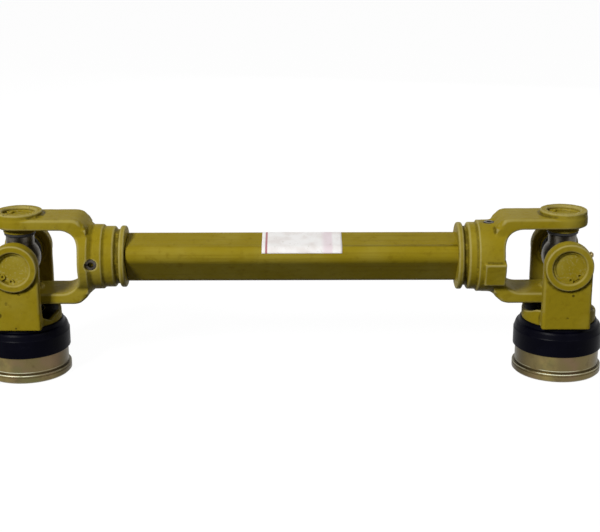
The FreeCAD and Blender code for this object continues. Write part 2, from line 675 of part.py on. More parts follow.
def snap_ring():
    top = -WASHER_LOW - 1.5 * SNAP_PLAY
    ring = tube(SNAP_RING_R, SNAP_GROOVE_R + SEATED, top - SNAP_RING_THICK, top)
    corner = V(SNAP_GROOVE_R - SNAP_RING_OUT, -SNAP_GAP / 2, top - 2 * SNAP_RING_THICK)
    return ring.cut(Part.makeBox(2 * SNAP_GAP, SNAP_GAP, 3 * SNAP_RING_THICK, corner))


def on_helix(turns, pitch):
    a = 2 * math.pi * turns
    return V(SPRING_R * math.cos(a), SPRING_R * math.sin(a), pitch * turns)


def coil_spring():
    """Round-wire coil between the bowl and the collar shelf, laid in quarter-turn arcs."""
    low = -COLLAR_SHELF + SPRING_WIRE_R + SPRING_END_GAP
    high = -BOWL_BOTTOM - SPRING_WIRE_R - SPRING_END_GAP
    pitch = (high - low) / SPRING_TURNS
    arcs = []
    for k in range(4 * SPRING_TURNS):
        ends = [on_helix((k + step) / 4, pitch) for step in (0, 0.5, 1)]
        arcs.append(Part.Arc(*ends).toShape())
    start = arcs[0].valueAt(arcs[0].FirstParameter)
    along = arcs[0].tangentAt(arcs[0].FirstParameter)
    section = Part.Wire([Part.Circle(start, along, SPRING_WIRE_R).toShape()])
    coil = Part.Wire(arcs).makePipeShell([section], True, True)
    coil.translate(V(0, 0, low))
    return coil


def ball(k):
    """Lock ball k about the hub axis of an end yoke."""
    a = math.radians(BALL_FIRST + k * 360 / BALL_COUNT)
    centre = V(BALL_LOCKED_R * math.cos(a), BALL_LOCKED_R * math.sin(a), -BALL_LEVEL)
    return Part.makeSphere(BALL_R, centre)


def joint_pieces(side, clip_turns):
    """All pieces of one joint about the origin, for the right-hand end."""
    upright = {"top": [], "bottom": [(X_AXIS, 180)]}
    level = {"back": [(X_AXIS, -90)], "front": [(X_AXIS, 90)]}
    pieces = {"cross_" + side: spider(), "grease_nipple_" + side: grease_nipple()}
    for name, turns in list(upright.items()) + list(level.items()):
        label = side + "_" + name
        clip = [(Z_AXIS, clip_turns[name])] + turns
        pieces["cup_" + label] = placed(bearing_cup(), HERE, turns)
        pieces["seal_" + label] = placed(cup_seal(), HERE, turns)
        pieces["circlip_" + label] = placed(circlip(), HERE, clip)
    pieces["end_yoke_" + side] = end_yoke()
    pieces["grip_ring_" + side] = grip_ring()
    pieces["locking_collar_" + side] = locking_collar()
    pieces["collar_washer_" + side] = hub_washer()
    pieces["snap_ring_" + side] = snap_ring()
    pieces["collar_spring_" + side] = coil_spring()
    for k in range(BALL_COUNT):
        pieces["lock_ball_" + side + "_" + str(k + 1)] = ball(k)
    return pieces


def shaft_pieces():
    """Tubes and tube yokes; the left yoke is the right one turned half round."""
    right_reach = OUTER_LOBE_OUT + OUTER_LOBE_R
    left_reach = OUTER_LOBE_OUT + INNER_LOBE_R
    right_r = body_radius(RIGHT_HUB, right_reach)
    left_r = body_radius(LEFT_HUB, left_reach)
    opening = HALF - HUB_END - TUBE_SEAT_WALL
    right = tube_yoke(RIGHT_HUB, right_reach, Z_AXIS).fuse(hub_pad(right_r)).removeSplitter()
    right = placed(right, V(HALF, 0, 0))
    right = right.cut(profile_bar(OUTER_LOBE_OUT, OUTER_LOBE_R + SEATED, opening, TUBE_SEAT))
    left = placed(tube_yoke(LEFT_HUB, left_reach, Y_AXIS), V(-HALF, 0, 0), [(Z_AXIS, 180)])
    left = left.cut(profile_bar(OUTER_LOBE_OUT, INNER_LOBE_R + SEATED, -TUBE_SEAT, -opening))
    outer_start = -HALF + HUB_END + TUBE_STOP_GAP
    outer = profile_tube(OUTER_LOBE_R, OUTER_WALL, outer_start, TUBE_SEAT - TUBE_END_GAP)
    inner = profile_tube(INNER_LOBE_R, INNER_WALL, -TUBE_SEAT + TUBE_END_GAP, INNER_TUBE_END)
    outer = outer.cut(rod_at(HALF - PIN_FROM_CENTRE, Z_AXIS))
    inner = inner.cut(rod_at(-HALF + PIN_FROM_CENTRE, Y_AXIS))
    lift = V(0, 0, AXIS_HEIGHT)
    return {
        "outer_tube": placed(outer, lift),
        "inner_tube": placed(inner, lift),
        "outer_tube_yoke": placed(right, lift),
        "inner_tube_yoke": placed(left, lift),
        "roll_pin_right": placed(roll_pin(right_r, Z_AXIS), V(HALF, 0, AXIS_HEIGHT)),
        "roll_pin_left": placed(roll_pin(left_r, Y_AXIS), V(-HALF, 0, AXIS_HEIGHT), [(Z_AXIS, 180)]),
    }


def swapped(name):
    """Names say where a piece is, so front and back change over at the left end."""
    if name.endswith("_front"):
        return name[:-5] + "back"
    if name.endswith("_back"):
        return name[:-4] + "front"
    return name


def all_pieces():
    pieces = shaft_pieces()
    for name, shape in joint_pieces("right", RIGHT_CLIP_TURNS).items():
        pieces[name] = placed(shape, V(HALF, 0, AXIS_HEIGHT))
    for name, shape in joint_pieces("left", LEFT_CLIP_TURNS).items():
        pieces[swapped(name)] = placed(shape, V(-HALF, 0, AXIS_HEIGHT), [(Z_AXIS, 180)])
    return pieces


os.makedirs("parts", exist_ok=True)
for node, solid in all_pieces().items():
    solid.exportStep("parts/" + node + ".step")
    print(node, solid.ShapeType, len(solid.Solids), solid.isValid())
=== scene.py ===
import math

import bmesh
import bpy
import numpy as np
from mathutils import Matrix, Vector


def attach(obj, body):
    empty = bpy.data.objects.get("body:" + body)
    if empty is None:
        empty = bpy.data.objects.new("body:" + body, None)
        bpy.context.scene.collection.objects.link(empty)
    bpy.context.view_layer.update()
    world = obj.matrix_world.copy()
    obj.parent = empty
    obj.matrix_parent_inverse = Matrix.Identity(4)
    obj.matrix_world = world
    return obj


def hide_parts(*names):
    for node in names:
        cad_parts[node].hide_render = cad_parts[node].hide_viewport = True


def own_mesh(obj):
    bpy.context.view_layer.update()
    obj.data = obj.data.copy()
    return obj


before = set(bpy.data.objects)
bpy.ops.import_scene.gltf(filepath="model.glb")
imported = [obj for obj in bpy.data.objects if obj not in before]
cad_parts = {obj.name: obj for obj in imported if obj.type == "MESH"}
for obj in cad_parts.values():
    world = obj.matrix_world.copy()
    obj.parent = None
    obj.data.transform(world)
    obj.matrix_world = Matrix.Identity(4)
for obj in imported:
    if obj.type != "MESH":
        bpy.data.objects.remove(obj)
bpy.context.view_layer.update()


# Main places, in metres: each joint lies HALF out from the middle and AXIS above the floor

HALF = 0.255
AXIS = 0.1135
LEFT_JOINT = (-HALF, 0, AXIS)


# Shader building

class Value:
    """One number in a shader; arithmetic on it adds Math nodes."""

    def __init__(self, tree, socket):
        self.tree = tree
        self.socket = socket

    def math(self, operation, *others):
        """Math node on this value and others."""
        node = self.tree.node("ShaderNodeMath", {"operation": operation}, dict(enumerate((self,) + others)))
        return Value(self.tree, node.outputs[0])

    def __add__(self, other):
        return self.math("ADD", other)

    def __sub__(self, other):
        return self.math("SUBTRACT", other)

    def __mul__(self, other):
        return self.math("MULTIPLY", other)

    def __rsub__(self, other):
        return self * -1.0 + other

    __radd__ = __add__
    __rmul__ = __mul__

    def ramp(self, low, high):
        """0 below low and 1 above high, smooth between."""
        sockets = {"Value": self, "From Min": low, "From Max": high}
        node = self.tree.node("ShaderNodeMapRange", {"interpolation_type": "SMOOTHSTEP"}, sockets)
        return Value(self.tree, node.outputs["Result"])

    def band(self, start, full, fade, end):
        """1 between full and fade, running out to 0 at start and end."""
        return self.ramp(start, full) * (1.0 - self.ramp(fade, end))


class Tree:
    """A node tree in which every node comes from one method."""

    def __init__(self, raw):
        self.raw = raw

    def node(self, kind, settings=None, sockets=None):
        """Add a node: its settings are set first, then its sockets get their values or links."""
        node = self.raw.nodes.new(kind)
        for name, setting in (settings or {}).items():
            setattr(node, name, setting)
        for name, value in (sockets or {}).items():
            self.put(node.inputs[name], value)
        return node

    def put(self, slot, value):
        """Link a socket to a shader value or another socket, or set it to a plain value."""
        source = value.socket if isinstance(value, Value) else value
        if isinstance(source, bpy.types.NodeSocket):
            self.raw.links.new(source, slot)
        else:
            slot.default_value = source


class Shader(Tree):
    """A material with one Principled shader and its texture helpers."""

    NOISE_SHIFT = (1, 0.7, 1.3)
    CELL_SHIFT = (1, 0.6, 1.1)
    MIX_FIRST, MIX_SECOND, MIX_RESULT = 6, 7, 2

    def __init__(self, name):
        self.material = bpy.data.materials.new(name)
        self.material.use_nodes = True
        super().__init__(self.material.node_tree)
        self.shader = self.raw.nodes["Principled BSDF"]
        self.coords = self.node("ShaderNodeTexCoord").outputs["Object"]

    def moved(self, seed, shift, stretch=(1, 1, 1)):
        """Object coordinates, stretched and moved away by a seed."""
        place = [seed * part for part in shift]
        sockets = {"Vector": self.coords, "Location": place, "Scale": stretch}
        return self.node("ShaderNodeMapping", sockets=sockets).outputs[0]

    def noise(self, scale, detail, rough, seed=0.0, stretch=(1, 1, 1)):
        """Cloudy pattern from 0 to 1."""
        where = self.moved(seed, self.NOISE_SHIFT, stretch)
        sockets = {"Vector": where, "Scale": scale, "Detail": detail, "Roughness": rough}
        return Value(self, self.node("ShaderNodeTexNoise", sockets=sockets).outputs["Fac"])

    def dots(self, scale, full, none, seed):
        """1 in the middle of scattered round dots, fading to 0 from full to none."""
        sockets = {"Vector": self.moved(seed, self.CELL_SHIFT), "Scale": scale}
        cells = self.node("ShaderNodeTexVoronoi", sockets=sockets)
        return 1.0 - Value(self, cells.outputs["Distance"]).ramp(full, none)

    def near(self, point, size):
        """1 at a point of the object, fading to 0 at the given size in metres."""
        away = self.node("ShaderNodeVectorMath", {"operation": "DISTANCE"}, {0: self.coords, 1: point})
        return 1.0 - Value(self, away.outputs["Value"]).ramp(size * 0.6, size)

    def part(self, vector, name):
        """The X, Y or Z part of a vector."""
        return Value(self, self.node("ShaderNodeSeparateXYZ", sockets={"Vector": vector}).outputs[name])

    def attribute(self, name):
        """A value kept for each vertex of the mesh."""
        return Value(self, self.node("ShaderNodeAttribute", {"attribute_name": name}).outputs["Fac"])

    def mix(self, first, second, amount):
        """Mix of two colours, each a socket or an sRGB triple, by a shader value."""
        first, second = (rgba(colour) if isinstance(colour, tuple) else colour for colour in (first, second))
        sockets = {"Factor": amount, self.MIX_FIRST: first, self.MIX_SECOND: second}
        return self.node("ShaderNodeMix", {"data_type": "RGBA"}, sockets).outputs[self.MIX_RESULT]

    def bump(self, height, strength, distance, under=None):
        """Normal for a height, with the distance in metres, over another normal if one is given."""
        sockets = {"Height": height, "Strength": strength, "Distance": distance}
        if under is not None:
            sockets["Normal"] = under
        return self.node("ShaderNodeBump", sockets=sockets).outputs[0]

    def finish(self, colour, roughness, normal, metallic=0.0, specular=0.5):
        """Feed the Principled shader and give back the material."""
        inputs = self.shader.inputs
        self.put(inputs["Base Color"], colour)
        self.put(inputs["Roughness"], roughness)
        self.put(inputs["Normal"], normal)
        self.put(inputs["Metallic"], metallic)
        self.put(inputs["Specular IOR Level"], specular)
        return self.material


def rgba(colour):
    """Linear RGBA from an sRGB triple of 0 to 255."""
    parts = [part / 255 for part in colour]
    return tuple(c / 12.92 if c <= 0.04045 else ((c + 0.055) / 1.055) ** 2.4 for c in parts) + (1.0,)


# Materials; colours are sRGB triples

PAINT = (142, 124, 24)
PAINT_PALE = (160, 145, 58)
PAINT_DEEP = (118, 98, 14)
# Pale rubbed paint; on the yokes' edges it is also a painted highlight
PAINT_RUBBED_AND_HIGHLIGHT = (176, 166, 112)
PAINT_FLAKED = (226, 220, 190)
STEEL_DARK = (70, 66, 58)
# Dark grime; in the yokes' creases it is also painted shade
GRIME_AND_SHADE = (44, 36, 12)
# Near-black for the painted shade in the yokes' fork gaps
GAP_SHADE = (14, 9, 4)

# Marks on the yokes: a place and a size in metres

WORN_SPOTS = (
    ((-0.2625, -0.0410, 0.0795), 0.0024),
    ((-0.2705, -0.0410, 0.0680), 0.0032),
    ((-0.2510, -0.0410, 0.0880), 0.0014),
    ((-0.2555, -0.0410, 0.0555), 0.0012),
    ((0.2560, -0.0410, 0.0640), 0.0014),
    ((0.2600, -0.0410, 0.0860), 0.0016),
    ((-0.2650, -0.0180, 0.1580), 0.0016),
)
PALE_SPOTS = (
    ((0.2432, -0.0249, 0.1572), 0.0034),
    ((0.2470, -0.0250, 0.1540), 0.0016),
    ((0.2700, -0.0195, 0.1582), 0.0018),
)


def paint(name, seed=0.0, grain=1.0, wear=1.0, pale=0.55, forged=False, drawn=False, rubbed=False):
    """Olive yellow paint over steel: mottled, with specks, small chips and grime; on forged yokes also
    painted shade and painted highlights.
    """
    look = Shader(name)
    mottle = look.noise(150, 4, 0.6, seed + 3)
    fine = look.noise(900, 3, 0.6, seed + 5)
    colour = look.mix(PAINT, PAINT_PALE, look.noise(22, 3, 0.5, seed).ramp(0.4, 0.72) * pale)
    colour = look.mix(colour, PAINT_DEEP, mottle.ramp(0.52, 0.74) * 0.45)
    colour = look.mix(colour, GRIME_AND_SHADE, look.noise(60, 5, 0.65, seed + 9).ramp(0.6, 0.8) * mottle * 0.5)
    chip = look.dots(230, 0.045, 0.075, seed + 1) * look.noise(38, 2, 0.5, seed + 7).ramp(0.56, 0.6) * wear
    colour = look.mix(colour, STEEL_DARK, chip)
    speck = look.dots(620, 0.05, 0.12, seed + 2) * look.noise(70, 2, 0.5, seed + 11).ramp(0.5, 0.58)
    colour = look.mix(colour, GRIME_AND_SHADE, speck * 0.55)
    if rubbed:
        colour = look.mix(colour, PAINT_RUBBED_AND_HIGHLIGHT, look.noise(420, 4, 0.65, seed + 23).ramp(0.5, 0.68) * 0.35)
    if drawn:
        streaks = look.noise(1, 4, 0.6, seed, stretch=(6, 420, 420))
        colour = look.mix(colour, PAINT_DEEP, streaks.ramp(0.48, 0.75) * 0.5)
    if forged:
        colour = forged_wear_and_shade(look, colour, seed)
    rough = 0.36 + mottle * 0.12 + fine * 0.06 + chip * 0.2
    height = look.noise(260, 3, 0.5, seed + 13) * grain + fine * 0.18 - chip * 0.9
    return look.finish(colour, rough, look.bump(height, 0.35, 0.0006), specular=0.025)


def forged_wear_and_shade(look, colour, seed):
    """Painted shade in the fork gap, pale rubbed paint that is also a painted highlight on edges, grime that
    is also painted shade in creases, bare steel on some edges and a few spots, on the dense copies of the
    yokes.
    """
    edge = look.attribute("edge")
    crease = look.attribute("crease")
    patchy = look.noise(170, 4, 0.6, seed + 17)
    # Near-black painted shade in the bottom of the fork gap
    colour = look.mix(colour, GAP_SHADE, look.attribute("grease"))
    # Pale rubbed paint on edges, which is also a painted highlight
    colour = look.mix(colour, PAINT_RUBBED_AND_HIGHLIGHT, edge.ramp(0.2, 0.7) * 0.45)
    # Grime in creases and corners, which is also painted shade
    colour = look.mix(colour, GRIME_AND_SHADE, crease.ramp(0.1, 0.7) * patchy.ramp(0.25, 0.6) * 0.7)
    bare = edge.ramp(0.35, 0.8) * patchy.ramp(0.6, 0.68) * look.noise(24, 2, 0.5, seed + 19).ramp(0.5, 0.62)
    colour = look.mix(colour, STEEL_DARK, bare * 0.8)
    for place, size in WORN_SPOTS:
        colour = look.mix(colour, GRIME_AND_SHADE, look.near(place, size) * patchy.ramp(0.34, 0.5) * 0.75)
    flaked = look.noise(500, 3, 0.6, seed + 21).ramp(0.46, 0.56)
    for place, size in PALE_SPOTS:
        colour = look.mix(colour, PAINT_FLAKED, look.near(place, size) * flaked * 0.8)
    return colour


STEEL = (92, 88, 80)
STEEL_OILY = (52, 46, 38)
BALL = (176, 176, 174)
BALL_GREY = (150, 148, 142)
NIPPLE = (150, 134, 92)
NIPPLE_DULL = (112, 96, 58)


def bare_metal(name, colour, other, rough, scale, bump):
    """Unpainted metal with blotches of a second tone and a fine grain."""
    look = Shader(name)
    blotch = look.noise(scale, 5, 0.6)
    fine = look.noise(scale * 8, 3, 0.6, seed=2)
    tint = look.mix(colour, other, blotch.ramp(0.4, 0.68))
    normal = look.bump(fine + blotch * 0.6, bump, 0.0003)
    return look.finish(tint, rough + blotch * 0.16, normal, metallic=1.0)


ZINC = (110, 98, 64)
ZINC_PINK = (118, 96, 76)
ZINC_GREEN = (98, 100, 60)
ZINC_DULL = (78, 66, 40)
# Painted highlight streak on the collars
ZINC_HIGHLIGHT = (156, 138, 84)
ZINC_SHADE = (50, 42, 24)
# Painted highlight lines on the collar rims
ZINC_RIM_HIGHLIGHT = (214, 214, 186)
# Painted shade in the collar's rim groove
ZINC_GROOVE_SHADE = (44, 38, 22)

# On a collar, in metres: places across it from its axis for the painted highlight streak and the painted
# highlight lines, each line's height and half width, and the heights of the painted shade in the groove

HIGHLIGHT_PLACE = -0.0150
LINE_PLACE = -0.0080
RIM_HIGHLIGHTS = ((0.0107, 0.00032), (0.0081, 0.00036))
RIM_GROOVE_SHADE = (0.0086, 0.0089, 0.0096, 0.0101)


def zinc():
    """Yellow passivated zinc: golden with faint pink and green, turned round the hub axis, with a painted
    highlight streak, painted shade towards the collar's sides and painted highlight lines on its rims.
    """
    look = Shader("yellow_zinc")
    cloud = look.noise(26, 3, 0.5)
    fine = look.noise(500, 4, 0.6)
    colour = look.mix(ZINC, ZINC_PINK, cloud.ramp(0.48, 0.66) * 0.7)
    colour = look.mix(colour, ZINC_GREEN, look.noise(34, 3, 0.5, seed=4).ramp(0.5, 0.68) * 0.6)
    colour = look.mix(colour, ZINC_DULL, look.noise(90, 5, 0.65, seed=8).ramp(0.56, 0.74) * 0.55)
    along = look.part(look.coords, "X")
    across = along - along.math("SIGN") * HALF
    # Painted highlight: a soft golden streak left of the collar's axis
    streak = 1.0 - (across - HIGHLIGHT_PLACE).math("ABSOLUTE").ramp(0.002, 0.013)
    colour = look.mix(colour, ZINC_HIGHLIGHT, streak * look.noise(140, 3, 0.5, seed=14).ramp(0.2, 0.8) * 0.45)
    colour = look.mix(colour, ZINC_SHADE, across.math("ABSOLUTE").ramp(0.026, 0.040) * 0.7)
    colour = rim_highlights(look, colour, across)
    rings = look.bump(look.noise(1, 3, 0.6, stretch=(3, 3, 2600)), 0.16, 0.0002)
    normal = look.bump(fine, 0.12, 0.0003, under=rings)
    return look.finish(colour, 0.3 + fine * 0.14 + cloud * 0.06, normal, metallic=0.92)


def rim_highlights(look, colour, across):
    """Two painted highlight lines on a collar's rims and painted shade in the groove between them."""
    height = look.part(look.coords, "Z")
    broken = look.noise(60, 2, 0.5, seed=12).ramp(0.3, 0.55)
    shine = 1.0 - (across - LINE_PLACE).math("ABSOLUTE").ramp(0.010, 0.032) * 0.75
    for level, thick in RIM_HIGHLIGHTS:
        line = height.band(level - thick, level - thick * 0.5, level + thick * 0.5, level + thick)
        colour = look.mix(colour, ZINC_RIM_HIGHLIGHT, line * shine * broken)
    # Painted shade in the groove between the two lines
    return look.mix(colour, ZINC_GROOVE_SHADE, height.band(*RIM_GROOVE_SHADE) * 0.7)


RING = (3, 3, 11)
RING_PALE = (6, 6, 16)
RING_RUBBED = (30, 31, 42)


def ring_plastic():
    """Blue-black moulded ring with soft sheen, rubbed here and there."""
    look = Shader("ring_plastic")
    cloud = look.noise(40, 4, 0.6)
    fine = look.noise(700, 4, 0.65)
    rub = look.noise(55, 5, 0.7, seed=2, stretch=(1, 1, 3.5)).ramp(0.56, 0.74)
    colour = look.mix(RING, RING_PALE, cloud.ramp(0.42, 0.7))
    colour = look.mix(colour, RING_RUBBED, rub * 0.2)
    normal = look.bump(fine * 0.5 + cloud, 0.28, 0.0004)
    return look.finish(colour, 0.3 + fine * 0.1 + rub * 0.1, normal, specular=0.03)


RUBBER = (22, 22, 23)
RUBBER_DUSTY = (40, 38, 34)


def rubber():
    """Black rubber of the cup seals, a little dusty."""
    look = Shader("seal_rubber")
    fine = look.noise(600, 4, 0.6)
    colour = look.mix(RUBBER, RUBBER_DUSTY, look.noise(120, 4, 0.6).ramp(0.45, 0.7))
    return look.finish(colour, 0.62 + fine * 0.15, look.bump(fine, 0.3, 0.0003))


LABEL = (246, 244, 242)
LABEL_SHADE = (232, 226, 222)
LABEL_RED = (158, 60, 74)
LABEL_ROSE = (226, 204, 212)
LABEL_SCUFF = (172, 164, 140)

# Bands across the sticker, as shares of its length

RED_LINE = (0.040, 0.046, 0.066, 0.072)
ROSE_BAND = (0.72, 0.80, 0.86, 0.90)


def label_face():
    """Plain white sticker with a thin red line near one end and a faint rosy band near the other."""
    look = Shader("blank_label")
    cloud = look.noise(60, 3, 0.5)
    along = look.part(look.node("ShaderNodeUVMap").outputs["UV"], "X")
    colour = look.mix(LABEL, LABEL_SHADE, cloud.ramp(0.4, 0.7))
    colour = look.mix(colour, LABEL_RED, along.band(*RED_LINE) * 0.85)
    colour = look.mix(colour, LABEL_ROSE, along.band(*ROSE_BAND) * 0.6)
    colour = look.mix(colour, LABEL_SCUFF, look.noise(300, 4, 0.7, seed=3).ramp(0.62, 0.7) * 0.5)
    return look.finish(colour, 0.42 + cloud * 0.15, look.bump(cloud, 0.15, 0.0004), specular=0.3)


MATERIALS = {
    "paint": paint("paint_plain"),
    "forged": paint("paint_forged", forged=True),
    "tube": paint("paint_tube", seed=2.0, grain=0.4, wear=0.7, drawn=True),
    "cups": paint("paint_cups", seed=5.0, grain=0.6, wear=1.3, pale=0.9, rubbed=True),
    "zinc": zinc(),
    "ring": ring_plastic(),
    "steel": bare_metal("oiled_steel", STEEL, STEEL_OILY, rough=0.3, scale=90, bump=0.25),
    "balls": bare_metal("ball_steel", BALL, BALL_GREY, rough=0.1, scale=140, bump=0.05),
    "nipple": bare_metal("nipple_metal", NIPPLE, NIPPLE_DULL, rough=0.26, scale=160, bump=0.1),
    "seal": rubber(),
    "label": label_face(),
}


# Which body each copied piece rides on, and the side of a yoke: 1 for right, -1 for left

TUBES = {"outer_tube": "outer_half", "inner_tube": "inner_half"}
YOKES = {
    "outer_tube_yoke": ("outer_half", 1),
    "inner_tube_yoke": ("inner_half", -1),
    "end_yoke_right": ("end_yoke_right", 1),
    "end_yoke_left": ("end_yoke_left", -1),
}
SIDES = {"right": 1, "left": -1}


# Selecting pieces and changing meshes

MERGE_WITHIN = 0.00001


def select_only(*pieces):
    """Deselect everything, then select these pieces and make the first one active."""
    bpy.ops.object.select_all(action="DESELECT")
    for piece in pieces:
        piece.select_set(True)
    if pieces:
        bpy.context.view_layer.objects.active = pieces[0]


def edit_mesh(piece, change):
    """Run a change, a function of a bmesh, on a piece's mesh."""
    mesh = bmesh.new()
    mesh.from_mesh(piece.data)
    change(mesh)
    mesh.to_mesh(piece.data)
    mesh.free()


def merged_copy(name, prefix):
    """Copy of a CAD node's mesh with its doubles merged."""
    def merge(mesh):
        bmesh.ops.remove_doubles(mesh, verts=mesh.verts, dist=MERGE_WITHIN)
        bmesh.ops.recalc_face_normals(mesh, faces=mesh.faces)

    copy = bpy.data.objects.new(prefix + name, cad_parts[name].data.copy())
    bpy.context.scene.collection.objects.link(copy)
    edit_mesh(copy, merge)
    return copy


def coat(piece, material):
    """Give a piece this one material."""
    piece.data.materials.clear()
    piece.data.materials.append(material)


def mesh_arrays(mesh):
    """Points and normals of the vertices, and the two vertices of each edge."""
    points = np.empty(len(mesh.vertices) * 3)
    mesh.vertices.foreach_get("co", points)
    normals = np.empty(len(mesh.vertices) * 3)
    mesh.vertices.foreach_get("normal", normals)
    pairs = np.empty(len(mesh.edges) * 2, dtype=int)
    mesh.edges.foreach_get("vertices", pairs)
    return points.reshape(-1, 3), normals.reshape(-1, 3), pairs.reshape(-1, 2)


def move_points(mesh, points):
    """Put the vertices of a mesh in new places."""
    mesh.vertices.foreach_set("co", points.ravel())
    mesh.update()


def set_values(mesh, name, values):
    """Keep a value for each vertex, for the material to read."""
    layer = mesh.attributes.new(name, "FLOAT", "POINT")
    layer.data.foreach_set("value", values.astype(np.float32))


def spread(values, pairs, rounds):
    """Average each vertex with its neighbours, a number of times."""
    ends = np.concatenate((pairs[:, 0], pairs[:, 1]))
    others = np.concatenate((pairs[:, 1], pairs[:, 0]))
    count = np.maximum(np.bincount(ends, minlength=len(values)), 1)
    for _ in range(rounds):
        around = np.bincount(ends, weights=values[others], minlength=len(values)) / count
        values = 0.5 * values + 0.5 * around
    return values


def between(values, low, high, soft):
    """1 between two limits, fading to 0 over a soft width outside them."""
    return np.clip((values - low) / soft + 1, 0, 1) * np.clip((high - values) / soft + 1, 0, 1)


# Fillings joined to the yokes, in metres; depths are measured down from the joint's centre

EAR_FACE = 0.0410
FOOT_WIDE = 0.0456
FOOT_THICK = 0.0076
FOOT_TALL = 0.0136
FOOT_MIDDLE = 0.0538
FOOT_ROUND = 0.0028
FOOT_ROUND_STEPS = 6


def ear_foot(side, front):
    """Block with rounded upright edges that carries an ear's flat face down to the ring."""
    depth = EAR_FACE - FOOT_THICK / 2

    def round_outer_edges(mesh):
        edges = []
        for edge in mesh.edges:
            one, two = (vertex.co for vertex in edge.verts)
            if abs(one.z - two.z) > FOOT_TALL / 2 and one.y * front > depth:
                edges.append(edge)
        bmesh.ops.bevel(mesh, geom=edges, offset=FOOT_ROUND, segments=FOOT_ROUND_STEPS, profile=0.5,
                        affect="EDGES")

    select_only()
    middle = (side * HALF, front * depth, AXIS - FOOT_MIDDLE)
    bpy.ops.mesh.primitive_cube_add(size=1, location=middle)
    block = bpy.context.object
    block.scale = (FOOT_WIDE, FOOT_THICK, FOOT_TALL)
    bpy.ops.object.transform_apply(location=True, rotation=False, scale=True)
    edit_mesh(block, round_outer_edges)
    return block


SADDLE_INNER = 0.0180
SADDLE_OUTER = 0.0350
SADDLE_FLAT = 0.0050
SADDLE_ROUND = 0.0250
SADDLE_REACH = 0.72
SADDLE_RISE = 0.0170
SADDLE_LOW = 0.0516
SADDLE_FOOT = 0.0606
SADDLE_STEPS = 160
SADDLE_RINGS = 12
GAP_DIPS = {"end_yoke_right": 0.0, "end_yoke_left": 0.0085}
DIP_PLACE = -0.0215
DIP_WIDE = 0.0085


def saddle_top(y, dip):
    """Height of the saddle at a place across the gap: a rounded U, lower in front by the dip."""
    reach = min(max(abs(y) - SADDLE_FLAT, 0) / SADDLE_ROUND, SADDLE_REACH)
    height = AXIS - SADDLE_LOW + SADDLE_RISE * (1 - math.sqrt(1 - reach * reach))
    return height - dip * math.exp(-((y - DIP_PLACE) / DIP_WIDE) ** 2)


def gap_saddle(side, dip):
    """Thick wall of the fork gap, with a rounded U from ear to ear, round the splined bore."""
    mesh = bmesh.new()
    wall = SADDLE_OUTER - SADDLE_INNER
    radii = [SADDLE_INNER + wall * ring / SADDLE_RINGS for ring in range(SADDLE_RINGS + 1)]
    rows = []
    for step in range(SADDLE_STEPS):
        angle = 2 * math.pi * step / SADDLE_STEPS
        flat = [(side * HALF + radius * math.cos(angle), radius * math.sin(angle)) for radius in radii]
        tops = [(x, y, saddle_top(y, dip)) for x, y in flat]
        bottoms = [(x, y, AXIS - SADDLE_FOOT) for x, y in (flat[-1], flat[0])]
        rows.append([mesh.verts.new(place) for place in tops + bottoms])
    for here, there in zip(rows, rows[1:] + rows[:1]):
        for one in range(len(here)):
            two = (one + 1) % len(here)
            mesh.faces.new((here[one], here[two], there[two], there[one]))
    bmesh.ops.recalc_face_normals(mesh, faces=mesh.faces)
    saddle = bpy.data.objects.new("gap_saddle", bpy.data.meshes.new("gap_saddle"))
    mesh.to_mesh(saddle.data)
    mesh.free()
    bpy.context.scene.collection.objects.link(saddle)
    return saddle


PLUG_START = 0.0672
PLUG_END = 0.1002
PLUG_R = 0.0252


def plug(side):
    """Round filling of a tube yoke's hub, from PLUG_START to PLUG_END inwards of the joint."""
    select_only()
    middle = (side * (HALF - (PLUG_START + PLUG_END) / 2), 0, AXIS)
    bpy.ops.mesh.primitive_cylinder_add(vertices=96, radius=PLUG_R, depth=PLUG_END - PLUG_START,
                                        location=middle, rotation=(0, math.pi / 2, 0))
    return bpy.context.object


# Forged yokes: denser copies with soft edges, a slightly uneven skin and a few dents

VOXEL = 0.00075
# Reach of the painted shade in an end yoke's fork gap, from the joint's centre
GAP_SHADE_TOP = -0.0420
GAP_SHADE_WIDE = 0.0290
GAP_SHADE_R = 0.0318
NECK_ALONG = (0.0620, 0.0770)
NECK_AWAY = (0.0325, 0.0600)
NECK_ROUNDS = 90
EAR_FOOT_HEIGHTS = (-0.0620, -0.0460)
EAR_FOOT_PLACES = (0.0330, 0.0500)
EAR_FOOT_CALM = 0.85
SWELLS = ((0.009, 0.0003), (0.003, 0.0001))
DENTS = {
    "end_yoke_left": (
        ((-0.2625, -0.0410, 0.0795), 0.0022, 0.0005),
        ((-0.2705, -0.0410, 0.0680), 0.0030, 0.0005),
        ((-0.2510, -0.0410, 0.0880), 0.0013, 0.0003),
    ),
    "end_yoke_right": (
        ((0.2560, -0.0410, 0.0640), 0.0016, 0.00035),
        ((0.2630, -0.0402, 0.0610), 0.0014, 0.0003),
    ),
}


def make_skin(copy):
    """Wrap a copy in an even, dense and slightly softened skin."""
    skin = copy.modifiers.new("skin", "REMESH")
    skin.mode = "VOXEL"
    skin.voxel_size = VOXEL
    skin.use_smooth_shade = True
    soften = copy.modifiers.new("soften", "SMOOTH")
    soften.factor = 0.5
    soften.iterations = 4
    bpy.ops.object.modifier_apply(modifier="skin")
    bpy.ops.object.modifier_apply(modifier="soften")


